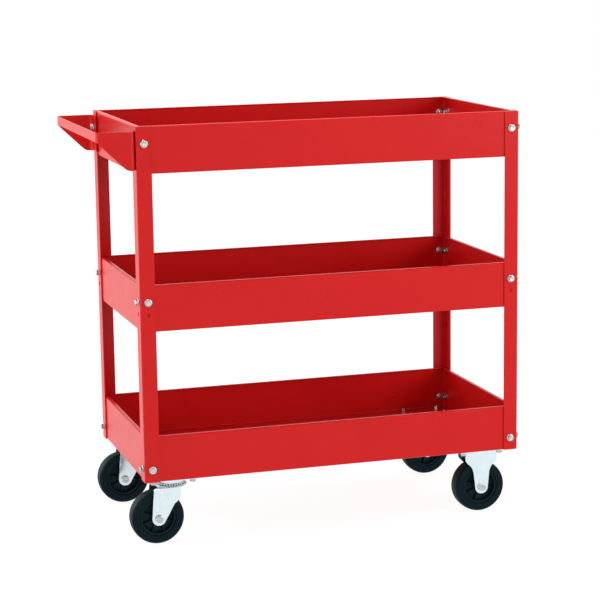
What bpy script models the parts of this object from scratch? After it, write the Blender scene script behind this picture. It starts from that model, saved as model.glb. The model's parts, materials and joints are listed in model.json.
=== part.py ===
"""Rolling utility cart: three steel trays bolted to four angle posts, with a push handle at one end.

Two swivel casters stand under the handle end and two rigid casters under the other end.
X runs along the cart (handle at -X), Y across it and Z up. The origin is on the floor,
under the middle of the whole cart's outer box.
"""

import math

import bmesh
import bpy
from mathutils import Matrix, Vector

# Driving dimensions, in metres
GAP = 0.0003  # assembly gap between neighbouring pieces
FRAME_LENGTH = 0.730  # over the posts, along X
FRAME_WIDTH = 0.378  # over the posts, along Y
FRAME_TOP = 0.773
FRAME_BOTTOM = 0.125  # underside of the lowest tray, on top of the casters

POST_SHEET = 0.002
POST_FRONT_FLANGE = 0.028
POST_END_FLANGE = 0.030
POST_BEND = 0.0035

TRAY_SHEET = 0.0012
TRAY_HEIGHT = 0.085
TRAY_LIP = 0.008
TRAY_BEND = 0.003
TRAY_CORNER = 0.005
TRAY_BOTTOMS = {"top": FRAME_TOP - TRAY_HEIGHT, "middle": 0.403, "bottom": FRAME_BOTTOM}

BOLT_INSET = 0.015  # from a post's outer corner to each bolt
BOLT_HEIGHTS = {"top": 0.742, "middle": 0.4575, "bottom": 0.1485}
SPARE_HOLE_HEIGHT = 0.435  # empty hole under each middle bolt
BOLT_HOLE = 0.0034
BOLT_SHANK = 0.003
BOLT_FLANGE = 0.007
BOLT_FLANGE_THICKNESS = 0.0014
BOLT_HEX = 0.0100 / math.sqrt(3)  # corner radius of a hexagon 10 mm across flats
BOLT_HEAD_HEIGHT = 0.006
NUT_THICKNESS = 0.005
BOLT_TAIL = 0.002

HANDLE_SHEET = 0.002
HANDLE_REACH = 0.0705  # from the posts' end faces to the bar's outer face
HANDLE_TOP = 0.7645
HANDLE_BAR_HEIGHT = 0.0165
HANDLE_PLATE_HEIGHT = 0.069
HANDLE_FOOT = 0.0155  # length of the side plate's level lower edge
HANDLE_TAB = 0.034  # width of the tab that is bolted to the post
HANDLE_TAB_BEND = 0.009
HANDLE_BAR_BEND = 0.008

WHEEL_RADIUS = 0.050
TYRE_WIDTH = 0.032
TYRE_INNER = 0.034
HUB_LENGTH = 0.038
HUB_BORE = 0.0068
BUSH_RADIUS = 0.0065
BUSH_BORE = 0.0044
AXLE_RADIUS = 0.004
AXLE_HEX = 0.013 / math.sqrt(3)  # corner radius of a hexagon 13 mm across flats
AXLE_HEAD = 0.0053
AXLE_TAIL = 0.0015

CASTER_Y = 0.146  # from the cart's middle plane to each wheel's middle plane
RIGID_X = 0.300  # from the middle of the frame to the rigid casters
SWIVEL_X = -0.308  # from the middle of the frame to the swivel axes
SWIVEL_TRAIL = 0.028  # from the swivel axis back to the axle
FORK_SHEET = 0.0025
FORK_WIDTH = 0.045  # over the fork's two legs
FORK_BEND = 0.006
FORK_TIP = 0.0128  # radius of a leg's lower end
# Side views, as (distance from the axle or the swivel axis, height) down one edge of a leg
RIGID_FLARE = [(0.0315, 0.124), (0.032, 0.103), (0.0275, 0.097), (0.021, 0.0915), (0.0165, 0.082)]
SWIVEL_BACK_EDGE = [(-0.036, 0.105), (-0.038, 0.085)]
SWIVEL_FRONT_EDGE = [(0.0145, 0.094), (0.0125, 0.0865), (0.008, 0.0805), (0.002, 0.0765)]
PLATE_LENGTH = 0.092
PLATE_WIDTH = 0.060
PLATE_THICKNESS = 0.003
PLATE_CORNER = 0.006
PLATE_BOLT_X = 0.074
PLATE_BOLT_Y = 0.044
PLATE_TOP = FRAME_BOTTOM - GAP
PLATE_LOW = PLATE_TOP - PLATE_THICKNESS
DISH_RADIUS = 0.027
DISH_DEPTH = 0.007  # how far the pressed ball dish hangs under the plate
RACE_HEIGHT = 0.0034
KINGPIN_RADIUS = 0.006
KINGPIN_HEAD = 0.009
DISH_LOW = PLATE_LOW - DISH_DEPTH
RACE_LOW = DISH_LOW - GAP - RACE_HEIGHT
CROWN_TOP = RACE_LOW - GAP
TYRE_SHOULDER = 0.006
HUB_BOSS = 0.0125
HUB_WEB = 0.005  # half the thickness of the disc between boss and rim
HUB_RIM = 0.004

# The whole cart's outer box reaches from the handle bar to the bolt heads at the far end.
HEAD_REACH = GAP + BOLT_HEAD_HEIGHT
FRAME_X = (HANDLE_REACH - HEAD_REACH) / 2
LEFT_FACE = FRAME_X - FRAME_LENGTH / 2
MERGE_DISTANCE = 0.00005
ROUND_STEPS = 32
HUB_STEPS = 24
SMALL_STEPS = 16
BEND_STEPS = 2
HANDLE_STEPS = 4
TIP_STEPS = 6
HOLE_SIDES = 8
DISH_SIDES = 24
CORNERS = {
    "front_left": (-1, -1),
    "front_right": (1, -1),
    "back_left": (-1, 1),
    "back_right": (1, 1),
}


def clear_scene():
    for obj in list(bpy.data.objects):
        bpy.data.objects.remove(obj)


def new_collection(name):
    collection = bpy.data.collections.new(name)
    bpy.context.scene.collection.children.link(collection)
    return collection


def new_material(name, colour, metallic, roughness):
    material = bpy.data.materials.new(name)
    material.use_nodes = True
    shader = material.node_tree.nodes["Principled BSDF"]
    shader.inputs["Base Color"].default_value = (*colour, 1)
    shader.inputs["Metallic"].default_value = metallic
    shader.inputs["Roughness"].default_value = roughness
    return material


clear_scene()
CART = new_collection("rolling_utility_cart")
CUTTERS = new_collection("cutters")
CUTTERS.hide_render = True
RED_PAINT = new_material("red_paint", (0.52, 0.02, 0.025), 0.0, 0.35)
ZINC = new_material("zinc_plate", (0.72, 0.74, 0.76), 1.0, 0.32)
FASTENER_ZINC = new_material("fastener_zinc", (0.66, 0.67, 0.66), 1.0, 0.38)
TYRE_RUBBER = new_material("tyre_rubber", (0.012, 0.013, 0.014), 0.0, 0.6)
HUB_PLASTIC = new_material("hub_plastic", (0.015, 0.016, 0.018), 0.0, 0.5)


# Building blocks


def place(obj, location=(0, 0, 0), parent=None):
    obj.location = location
    obj.parent = parent
    return obj


def new_object(name, shape, material, collection=CART):
    """An object from a bmesh, or one that shares a mesh."""
    if isinstance(shape, bmesh.types.BMesh):
        mesh = bpy.data.meshes.new(name)
        shape.to_mesh(mesh)
        shape.free()
    else:
        mesh = shape
    obj = bpy.data.objects.new(name, mesh)
    collection.objects.link(obj)
    if material and not mesh.materials:
        mesh.materials.append(material)
    return obj


def new_empty(name, location, parent=None):
    empty = bpy.data.objects.new(name, None)
    CART.objects.link(empty)
    return place(empty, location, parent)


def new_cutter(name, shape):
    cutter = new_object(name, shape, None, CUTTERS)
    cutter.hide_render = True
    cutter.display_type = "WIRE"
    return cutter


def combine(obj, other, operation="DIFFERENCE"):
    modifier = obj.modifiers.new(other.name, "BOOLEAN")
    modifier.operation = operation
    modifier.solver = "EXACT"
    modifier.object = other
    return obj


def cut(obj, label, shape, operation="DIFFERENCE"):
    """Cuts or joins a shape that is drawn about the object's own origin."""
    cutter = new_cutter(f"{obj.name}_{label}", shape)
    place(cutter, obj.location, obj.parent)
    return combine(obj, cutter, operation)


def thicken(obj, thickness):
    """Gives an open sheet its thickness, towards the inside of its bends."""
    modifier = obj.modifiers.new("sheet", "SOLIDIFY")
    modifier.thickness = thickness
    modifier.offset = -1
    modifier.use_even_offset = True
    return obj


def round_shading(mesh):
    mesh.shade_smooth()
    mesh.set_sharp_from_angle(angle=math.radians(35))
    return mesh


def applied(obj):
    """The object's mesh with its modifiers applied, which other objects can share."""
    graph = bpy.context.evaluated_depsgraph_get()
    mesh = bpy.data.meshes.new_from_object(obj.evaluated_get(graph), depsgraph=graph)
    bpy.data.objects.remove(obj)
    return mesh


def arc(centre, radius, start, end, steps=BEND_STEPS):
    """Points on an arc in a plane; the angles are in degrees."""
    angles = [math.radians(start + (end - start) * i / steps) for i in range(steps + 1)]
    return [(centre[0] + radius * math.cos(a), centre[1] + radius * math.sin(a)) for a in angles]


def rounded_rectangle(half_x, half_y, radius, steps=BEND_STEPS):
    points = []
    for corner in range(4):
        side_x = 1 if corner in (0, 3) else -1
        side_y = 1 if corner < 2 else -1
        centre = (side_x * (half_x - radius), side_y * (half_y - radius))
        points += arc(centre, radius, 90 * corner, 90 * corner + 90, steps)
    return points


def face_away_from(bm, inside):
    """Turns an open sheet's faces away from a point inside its bends."""
    bm.normal_update()
    widest = max(bm.faces, key=lambda face: face.calc_area())
    away = widest.calc_center_median() - inside
    if widest.normal.dot(away) < 0:
        bmesh.ops.reverse_faces(bm, faces=bm.faces)


def ruled_sheet(first, second, inside):
    """An open sheet between two paths with the same number of points."""
    bm = bmesh.new()
    for start, end in zip(first, second):
        bm.edges.new((bm.verts.new(start), bm.verts.new(end)))
    bm.verts.ensure_lookup_table()
    for index in range(0, 2 * len(first) - 2, 2):
        a, b, d, c = bm.verts[index : index + 4]
        bm.faces.new((a, b, c, d))
    face_away_from(bm, Vector(inside))
    return bm


def prism(outline, plane, low, high):
    """A flat outline made solid between two distances along the plane's normal."""
    lift = {
        "XY": lambda u, v, w: (u, v, w),
        "XZ": lambda u, v, w: (u, w, v),
    }[plane]
    bm = bmesh.new()
    face = bm.faces.new([bm.verts.new(lift(u, v, low)) for u, v in outline])
    made = bmesh.ops.extrude_face_region(bm, geom=[face])["geom"]
    moved = [element for element in made if isinstance(element, bmesh.types.BMVert)]
    bmesh.ops.translate(bm, verts=moved, vec=lift(0, 0, high - low))
    bmesh.ops.recalc_face_normals(bm, faces=bm.faces)
    return bm


AXES = {
    "X": Matrix.Rotation(math.pi / 2, 4, "Y"),
    "Y": Matrix.Rotation(-math.pi / 2, 4, "X"),
    "Z": Matrix.Identity(4),
}


def add_cylinder(bm, radius, low, high, axis="Z", centre=(0, 0, 0), segments=16):
    """A cylinder between two distances along its axis, which runs through the centre."""
    turn = AXES[axis]
    along = Matrix.Translation((0, 0, (low + high) / 2))
    bmesh.ops.create_cone(
        bm,
        cap_ends=True,
        segments=segments,
        radius1=radius,
        radius2=radius,
        depth=high - low,
        matrix=Matrix.Translation(centre) @ turn @ along,
    )


def cylinder(*args, **kwargs):
    bm = bmesh.new()
    add_cylinder(bm, *args, **kwargs)
    return bm


def turned_mesh(name, profile, material, steps=ROUND_STEPS):
    """A (radius, height) profile turned about Z, running down its outer side.

    A profile that starts on the axis makes a solid piece, and any other is closed to a ring.
    """
    bm = bmesh.new()
    verts = [bm.verts.new((radius, 0, height)) for radius, height in profile]
    if profile[0][0] > 0:
        verts.append(verts[0])
    for start, end in zip(verts, verts[1:]):
        bm.edges.new((start, end))
    obj = new_object(name, bm, material)
    screw = obj.modifiers.new("turn", "SCREW")
    screw.axis = "Z"
    screw.steps = steps
    screw.render_steps = steps
    screw.use_merge_vertices = True
    screw.merge_threshold = MERGE_DISTANCE
    return round_shading(applied(obj))


# Posts


def build_post(corner, side_x, side_y):
    """An angle post. Its two flanges lie outside the trays' corners."""
    outer_x = FRAME_X + side_x * FRAME_LENGTH / 2
    outer_y = side_y * FRAME_WIDTH / 2
    bend = arc((-POST_BEND, -POST_BEND), POST_BEND, 90, 0)
    path = [(-POST_FRONT_FLANGE, 0), *bend, (0, -POST_END_FLANGE)]
    plan = [(outer_x + side_x * x, outer_y + side_y * y) for x, y in path]
    sheet = ruled_sheet(
        [(x, y, FRAME_BOTTOM) for x, y in plan],
        [(x, y, FRAME_TOP) for x, y in plan],
        inside=(FRAME_X, 0, FRAME_TOP / 2),
    )
    post = thicken(new_object(f"post_{corner}", sheet, RED_PAINT), POST_SHEET)
    holes = bmesh.new()
    for height in (*BOLT_HEIGHTS.values(), SPARE_HOLE_HEIGHT):
        bolt_x = outer_x - side_x * BOLT_INSET
        bolt_y = outer_y - side_y * BOLT_INSET
        reach = 2 * POST_SHEET
        add_cylinder(holes, BOLT_HOLE, -reach, reach, "Y", (bolt_x, outer_y, height), HOLE_SIDES)
        add_cylinder(holes, BOLT_HOLE, -reach, reach, "X", (outer_x, bolt_y, height), HOLE_SIDES)
    return cut(post, "holes", holes)


# Trays


def build_tray(level):
    """A folded pan: floor, four walls and a lip turned inwards along the rim."""
    half_x = FRAME_LENGTH / 2 - POST_SHEET - GAP
    half_y = FRAME_WIDTH / 2 - POST_SHEET - GAP
    floor_bend = [(TRAY_BEND + u, TRAY_BEND + v) for u, v in arc((0, 0), TRAY_BEND, 270, 180)]
    rim_height = TRAY_HEIGHT - TRAY_BEND
    rim_bend = [(TRAY_BEND + u, rim_height + v) for u, v in arc((0, 0), TRAY_BEND, 180, 90)]
    section = [*floor_bend, *rim_bend, (TRAY_LIP, TRAY_HEIGHT)]
    bm = bmesh.new()
    rings = []
    for inset, height in section:
        radius = max(TRAY_CORNER - inset, TRAY_SHEET)
        outline = rounded_rectangle(half_x - inset, half_y - inset, radius)
        rings.append([bm.verts.new((x, y, height)) for x, y in outline])
    bm.faces.new(rings[0])
    for lower, upper in zip(rings, rings[1:]):
        for i in range(len(lower)):
            j = (i + 1) % len(lower)
            bm.faces.new((lower[i], lower[j], upper[j], upper[i]))
    bmesh.ops.recalc_face_normals(bm, faces=bm.faces)
    face_away_from(bm, Vector((0, 0, TRAY_HEIGHT / 2)))
    tray = new_object(f"{level}_tray", bm, RED_PAINT)
    place(tray, (FRAME_X, 0, TRAY_BOTTOMS[level]))
    thicken(tray, TRAY_SHEET)
    holes = bmesh.new()
    height = BOLT_HEIGHTS[level] - TRAY_BOTTOMS[level]
    bolt_x = FRAME_LENGTH / 2 - BOLT_INSET
    bolt_y = FRAME_WIDTH / 2 - BOLT_INSET
    for side in (-1, 1):
        for other in (-1, 1):
            wall_y = (side * bolt_x, other * half_y, height)
            wall_x = (side * half_x, other * bolt_y, height)
            reach = 3 * TRAY_SHEET
            add_cylinder(holes, BOLT_HOLE, -reach, reach, "Y", wall_y, HOLE_SIDES)
            add_cylinder(holes, BOLT_HOLE, -reach, reach, "X", wall_x, HOLE_SIDES)
    if level == "bottom":
        for x in (SWIVEL_X, RIGID_X):
            for side in (-1, 1):
                for bolt in plate_bolts():
                    centre = (x + bolt[0], side * CASTER_Y + bolt[1], 0)
                    reach = 3 * TRAY_SHEET
                    add_cylinder(holes, BOLT_HOLE, -reach, reach, "Z", centre, HOLE_SIDES)
    return cut(tray, "holes", holes)


# Frame bolts


def hexagon_bolt_mesh(name, grip, shank, hexagon, head, nut, tail, flange=None):
    """A bolt with its nut, along Z: the head starts just above 0 and the nut just below -grip."""
    end = -grip - 2 * GAP - nut - tail
    bolt = new_object(name, cylinder(shank, end, GAP + head / 2, segments=HOLE_SIDES), FASTENER_ZINC)
    shapes = [cylinder(hexagon, GAP, GAP + head, segments=6)]
    shapes.append(cylinder(hexagon, end + tail, end + tail + nut, segments=6))
    if flange:
        shapes.append(cylinder(flange, GAP, GAP + BOLT_FLANGE_THICKNESS, segments=12))
    pieces = [new_cutter(f"{name}_{i}", shape) for i, shape in enumerate(shapes)]
    for piece in pieces:
        combine(bolt, piece, "UNION")
    mesh = applied(bolt)
    for piece in pieces:
        bpy.data.objects.remove(piece)
    mesh.name = name
    return round_shading(mesh)


def frame_bolt_mesh(name, grip):
    sizes = (BOLT_SHANK, BOLT_HEX, BOLT_HEAD_HEIGHT, NUT_THICKNESS, BOLT_TAIL)
    return hexagon_bolt_mesh(name, grip, *sizes, flange=BOLT_FLANGE)


def build_frame_bolts():
    """At each corner of each tray, one bolt through the post's side flange and one through its end flange."""
    wall = POST_SHEET + GAP + TRAY_SHEET
    tab = HANDLE_SHEET + GAP
    short_bolt = frame_bolt_mesh("frame_bolt", wall)
    long_bolt = frame_bolt_mesh("handle_bolt", wall + tab)
    for level, height in BOLT_HEIGHTS.items():
        for corner, (side_x, side_y) in CORNERS.items():
            end_x = FRAME_X + side_x * FRAME_LENGTH / 2
            side_face = side_y * FRAME_WIDTH / 2
            side_bolt = new_object(f"{level}_bolt_{corner}_side", short_bolt, None)
            place(side_bolt, (end_x - side_x * BOLT_INSET, side_face, height))
            side_bolt.rotation_euler = (-side_y * math.pi / 2, math.pi / 2, 0)
            holds_handle = level == "top" and side_x < 0
            end_mesh = long_bolt if holds_handle else short_bolt
            end_bolt = new_object(f"{level}_bolt_{corner}_end", end_mesh, None)
            head_x = end_x - tab if holds_handle else end_x
            place(end_bolt, (head_x, side_face - side_y * BOLT_INSET, height))
            end_bolt.rotation_euler = (0, side_x * math.pi / 2, 0)


# Handle


def handle_bottom(x):
    """The lower edge of the strap: level at the posts, then a straight slope up to the bar."""
    foot_end = LEFT_FACE - HANDLE_FOOT
    bar = LEFT_FACE - HANDLE_REACH
    low = HANDLE_TOP - HANDLE_PLATE_HEIGHT
    high = HANDLE_TOP - HANDLE_BAR_HEIGHT
    share = (foot_end - x) / (foot_end - bar)
    return low + (high - low) * min(max(share, 0), 1)


def build_handle():
    """One folded strap: a tab on each post, two tapered side plates and a flat bar."""
    tab_x = LEFT_FACE - GAP
    bar_x = LEFT_FACE - HANDLE_REACH
    outer_y = FRAME_WIDTH / 2
    foot_end = LEFT_FACE - HANDLE_FOOT
    tab_centre = (tab_x - HANDLE_TAB_BEND, outer_y - HANDLE_TAB_BEND)
    bar_centre = (bar_x + HANDLE_BAR_BEND, outer_y - HANDLE_BAR_BEND)
    half = [(tab_x, outer_y - HANDLE_TAB)]
    half += arc(tab_centre, HANDLE_TAB_BEND, 0, 90, HANDLE_STEPS)
    half += [(foot_end, outer_y)]
    half += arc(bar_centre, HANDLE_BAR_BEND, 90, 180, HANDLE_STEPS)
    path = half + [(x, -y) for x, y in reversed(half)]
    sheet = ruled_sheet(
        [(x, y, handle_bottom(x)) for x, y in path],
        [(x, y, HANDLE_TOP) for x, y in path],
        inside=((tab_x + bar_x) / 2, 0, HANDLE_TOP),
    )
    handle = thicken(new_object("push_handle", sheet, RED_PAINT), HANDLE_SHEET)
    holes = bmesh.new()
    for side in (-1, 1):
        centre = (tab_x, side * (outer_y - BOLT_INSET), BOLT_HEIGHTS["top"])
        add_cylinder(holes, BOLT_HOLE, -2 * HANDLE_SHEET, 2 * HANDLE_SHEET, "X", centre, HOLE_SIDES)
    return cut(handle, "holes", holes)


# Casters


def plate_bolts():
    """The four bolt places on a caster's top plate, from the plate's middle."""
    return [(x * PLATE_BOLT_X / 2, y * PLATE_BOLT_Y / 2) for x in (-1, 1) for y in (-1, 1)]


def plate_shape():
    outline = rounded_rectangle(PLATE_LENGTH / 2, PLATE_WIDTH / 2, PLATE_CORNER)
    return prism(outline, "XY", PLATE_LOW, PLATE_TOP)


def drill_plate(plate):
    holes = bmesh.new()
    for x, y in plate_bolts():
        centre = (x, y, PLATE_LOW)
        add_cylinder(holes, BOLT_HOLE, -GAP, PLATE_THICKNESS + GAP, "Z", centre, HOLE_SIDES)
    return cut(plate, "bolt_holes", holes)


def build_fork(name, location, parent, top, outline, axle_x):
    """Two legs and the web between them, bent from one strip and cut to a side view's outline."""
    half = FORK_WIDTH / 2
    bend_high = top - FORK_BEND
    section = [(-half, 0)]
    section += arc((FORK_BEND - half, bend_high), FORK_BEND, 180, 90)
    section += arc((half - FORK_BEND, bend_high), FORK_BEND, 90, 0)
    section += [(half, 0)]
    sheet = ruled_sheet(
        [(-PLATE_LENGTH, y, z) for y, z in section],
        [(PLATE_LENGTH, y, z) for y, z in section],
        inside=(0, 0, 0),
    )
    fork = place(new_object(name, sheet, ZINC), location, parent)
    thicken(fork, FORK_SHEET)
    cut(fork, "outline", prism(outline, "XZ", -FORK_WIDTH, FORK_WIDTH), "INTERSECT")
    axle = (axle_x, 0, WHEEL_RADIUS)
    cut(fork, "axle_holes", cylinder(AXLE_RADIUS + GAP, -FORK_WIDTH, FORK_WIDTH, "Y", axle))
    return fork


def fork_tip(axle_x, start, end):
    """The round lower end of a leg, about the axle."""
    return arc((axle_x, WHEEL_RADIUS), FORK_TIP, start, end, TIP_STEPS)


def kingpin_hole():
    return cylinder(KINGPIN_RADIUS + GAP, CROWN_TOP - 2 * FORK_SHEET, PLATE_TOP + GAP)


def build_top_plate(name, location):
    """A swivel caster's plate, with the round dish pressed into it that holds the balls."""
    plate = place(new_object(f"{name}_top_plate", plate_shape(), ZINC), location)
    join_height = PLATE_LOW + PLATE_THICKNESS / 2
    hollow = (DISH_RADIUS - PLATE_THICKNESS, DISH_LOW + PLATE_THICKNESS, PLATE_TOP + GAP)
    cut(plate, "dish", cylinder(DISH_RADIUS, DISH_LOW, join_height, segments=DISH_SIDES), "UNION")
    cut(plate, "dish_hollow", cylinder(*hollow, segments=DISH_SIDES))
    cut(plate, "pin_hole", kingpin_hole())
    return drill_plate(plate)


def build_swivel_fork(name, swivel):
    """The turning fork: a round crown under the balls and two legs that lean back to the axle."""
    above = CROWN_TOP + GAP
    outline = [(SWIVEL_BACK_EDGE[0][0], above), *SWIVEL_BACK_EDGE]
    outline += fork_tip(-SWIVEL_TRAIL, 180, 335)
    outline += [*reversed(SWIVEL_FRONT_EDGE), (SWIVEL_FRONT_EDGE[0][0], above)]
    fork = build_fork(f"{name}_fork", (0, 0, 0), swivel, CROWN_TOP, outline, -SWIVEL_TRAIL)
    crown = (DISH_RADIUS + FORK_SHEET, CROWN_TOP - FORK_SHEET, CROWN_TOP)
    cut(fork, "crown", cylinder(*crown, segments=DISH_SIDES), "UNION")
    return cut(fork, "pin_hole", kingpin_hole())


def build_rigid_bracket(name, location):
    """One pressing: the top plate and two straight legs that flare out to meet it."""
    outline = [(-x, z) for x, z in RIGID_FLARE] + fork_tip(0, 187, 353) + RIGID_FLARE[::-1]
    top = PLATE_LOW + FORK_SHEET
    bracket = build_fork(f"{name}_bracket", location, None, top, outline, 0)
    cut(bracket, "plate", plate_shape(), "UNION")
    return drill_plate(bracket)


def tyre_profile():
    half = TYRE_WIDTH / 2
    centre = (WHEEL_RADIUS - TYRE_SHOULDER, half - TYRE_SHOULDER)
    upper = [(TYRE_INNER, half), *arc(centre, TYRE_SHOULDER, 90, 0)]
    return upper + [(radius, -height) for radius, height in reversed(upper)]


def hub_profile():
    outer = TYRE_INNER - GAP
    inner = outer - HUB_RIM
    rim_half = TYRE_WIDTH / 2 - HUB_RIM / 2
    upper = [(HUB_BORE, HUB_LENGTH / 2), (HUB_BOSS, HUB_LENGTH / 2), (HUB_BOSS, HUB_WEB)]
    upper += [(inner, HUB_WEB), (inner, rim_half), (outer, rim_half)]
    return upper + [(radius, -height) for radius, height in reversed(upper)]


def bush_profile():
    half = FORK_WIDTH / 2 - FORK_SHEET - GAP
    return [(BUSH_BORE, half), (BUSH_RADIUS, half), (BUSH_RADIUS, -half), (BUSH_BORE, -half)]


def race_profile():
    """The row of balls under the dish, as one ring."""
    ball = RACE_HEIGHT / 2
    centre = (DISH_RADIUS - RACE_HEIGHT, RACE_LOW + ball)
    return arc(centre, ball, 90, -270, TIP_STEPS)[:-1]


def kingpin_profile():
    """A rivet: its head inside the dish and its upset foot under the crown."""
    head_low = DISH_LOW + PLATE_THICKNESS + GAP
    head_top = head_low + PLATE_THICKNESS
    foot_top = CROWN_TOP - FORK_SHEET - GAP
    foot_low = foot_top - FORK_SHEET
    return [
        (0.0, head_top),
        (KINGPIN_HEAD, head_top),
        (KINGPIN_HEAD, head_low),
        (KINGPIN_RADIUS, head_low),
        (KINGPIN_RADIUS, foot_top),
        (KINGPIN_HEAD, foot_top),
        (KINGPIN_HEAD, foot_low),
        (0.0, foot_low),
    ]


def shared_caster_meshes():
    axle_sizes = (FORK_WIDTH, AXLE_RADIUS, AXLE_HEX, AXLE_HEAD, AXLE_HEAD, AXLE_TAIL)
    return {
        "tyre": turned_mesh("tyre", tyre_profile(), TYRE_RUBBER),
        "hub": turned_mesh("hub", hub_profile(), HUB_PLASTIC, HUB_STEPS),
        "axle_bush": turned_mesh("axle_bush", bush_profile(), FASTENER_ZINC, SMALL_STEPS),
        "ball_race": turned_mesh("ball_race", race_profile(), FASTENER_ZINC, DISH_SIDES),
        "kingpin": turned_mesh("kingpin", kingpin_profile(), FASTENER_ZINC, SMALL_STEPS),
        "axle_bolt": hexagon_bolt_mesh("axle_bolt", *axle_sizes),
    }


def build_wheel_and_axle(name, axle, parent, meshes):
    """The tyre and hub turn about the bush, which the axle bolt clamps between the legs."""
    spin = new_empty(f"{name}_spin", axle, parent)
    across = (math.pi / 2, 0, 0)
    for part in ("tyre", "hub"):
        place(new_object(f"{name}_{part}", meshes[part], None), parent=spin).rotation_euler = across
    bush = place(new_object(f"{name}_axle_bush", meshes["axle_bush"], None), axle, parent)
    bush.rotation_euler = across
    bolt = new_object(f"{name}_axle_bolt", meshes["axle_bolt"], None)
    place(bolt, (axle[0], axle[1] - FORK_WIDTH / 2, axle[2]), parent)
    bolt.rotation_euler = (math.pi / 2, math.pi / 2, 0)


def build_swivel_caster(name, location, meshes):
    build_top_plate(name, location)
    for part in ("ball_race", "kingpin"):
        place(new_object(f"{name}_{part}", meshes[part], None), location)
    swivel = new_empty(f"{name}_swivel", location)
    build_swivel_fork(name, swivel)
    build_wheel_and_axle(name, (-SWIVEL_TRAIL, 0, WHEEL_RADIUS), swivel, meshes)


def build_rigid_caster(name, location, meshes):
    build_rigid_bracket(name, location)
    axle = (location[0], location[1], WHEEL_RADIUS)
    build_wheel_and_axle(name, axle, None, meshes)


def build_casters():
    meshes = shared_caster_meshes()
    for corner, (side_x, side_y) in CORNERS.items():
        if side_x < 0:
            place_on_tray = (FRAME_X + SWIVEL_X, side_y * CASTER_Y, 0)
            build_swivel_caster(f"caster_{corner}", place_on_tray, meshes)
        else:
            place_on_tray = (FRAME_X + RIGID_X, side_y * CASTER_Y, 0)
            build_rigid_caster(f"caster_{corner}", place_on_tray, meshes)


for tray_level in TRAY_BOTTOMS:
    build_tray(tray_level)
for post_corner, (post_x, post_y) in CORNERS.items():
    build_post(post_corner, post_x, post_y)
build_frame_bolts()
build_handle()
build_casters()
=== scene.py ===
"""The looks of the rolling utility cart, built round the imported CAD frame.

X runs along the cart (handle at -X), Y across it (front at -Y) and Z up, in metres.
Every visible piece is made here at its CAD node's place, with finer bends, edges and fasteners.
"""

import json
import math

import bmesh
import bpy
from mathutils import Matrix, Vector


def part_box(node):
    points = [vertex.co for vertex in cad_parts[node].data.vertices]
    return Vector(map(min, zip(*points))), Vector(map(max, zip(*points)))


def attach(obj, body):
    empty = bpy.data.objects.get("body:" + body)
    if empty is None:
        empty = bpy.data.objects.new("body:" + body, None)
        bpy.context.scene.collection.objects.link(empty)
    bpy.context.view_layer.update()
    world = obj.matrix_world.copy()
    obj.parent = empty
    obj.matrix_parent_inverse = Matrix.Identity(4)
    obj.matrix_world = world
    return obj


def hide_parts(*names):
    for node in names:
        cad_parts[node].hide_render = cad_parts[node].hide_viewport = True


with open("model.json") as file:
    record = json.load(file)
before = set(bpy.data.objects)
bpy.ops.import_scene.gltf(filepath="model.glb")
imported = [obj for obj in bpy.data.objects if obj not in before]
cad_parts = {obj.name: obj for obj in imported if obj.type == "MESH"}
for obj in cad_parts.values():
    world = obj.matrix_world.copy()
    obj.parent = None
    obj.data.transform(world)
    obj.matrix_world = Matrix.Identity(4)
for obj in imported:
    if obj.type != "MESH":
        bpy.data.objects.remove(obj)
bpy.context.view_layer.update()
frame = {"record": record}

NODE_BODY = {
    node: body for body, nodes in frame["record"]["behaviour"]["bodies"].items() for node in nodes
}
CORNERS = {
    "front_left": (-1, -1),
    "front_right": (1, -1),
    "back_left": (-1, 1),
    "back_right": (1, 1),
}
LEVELS = ("top", "middle", "bottom")
BOLT_AXES = {"side": (0, 1, 0), "end": (1, 0, 0)}

# Sheet work
GAP = 0.0003
POST_SHEET = 0.002
POST_FRONT_FLANGE = 0.028
POST_END_FLANGE = 0.030
POST_BEND = 0.0035
TRAY_SHEET = 0.0012
TRAY_LIP = 0.008
TRAY_BEND = 0.003
TRAY_CORNER = 0.005
LIP_SLIT = 0.0005  # mitre gap between two lips
EDGE_ROUNDING = 0.0003
EDGE_ANGLE = 40
SMOOTH_ANGLE = 38
HANDLE_SHEET = 0.002
HANDLE_PLATE_HEIGHT = 0.069
HANDLE_BAR_HEIGHT = 0.0165
HANDLE_FOOT = 0.0155
HANDLE_TAB = 0.034
HANDLE_TAB_BEND = 0.009
HANDLE_BAR_BEND = 0.008
HANDLE_FOOT_ROUNDING = 0.006
SPARE_HOLE_DROP = 0.0225  # from a middle bolt down to the empty hole under it

# Fasteners
BOLT_HOLE = 0.0034
M6 = {"shank": 0.003, "flats": 0.010, "head": 0.006, "nut": 0.005, "flange": 0.007, "pitch": 0.001}
M8 = {"shank": 0.004, "flats": 0.013, "head": 0.0053, "nut": 0.0065, "pitch": 0.00125}
BOLT_TAIL = 0.002
THREAD_DEPTH = 0.00035
THREAD_CLEARANCE = 0.00005
SKIRT_FLANGED = 0.00145  # height over the seat at which the hexagon meets the flange
BOLT_STEPS = 48
HOLE_STEPS = 32

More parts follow.
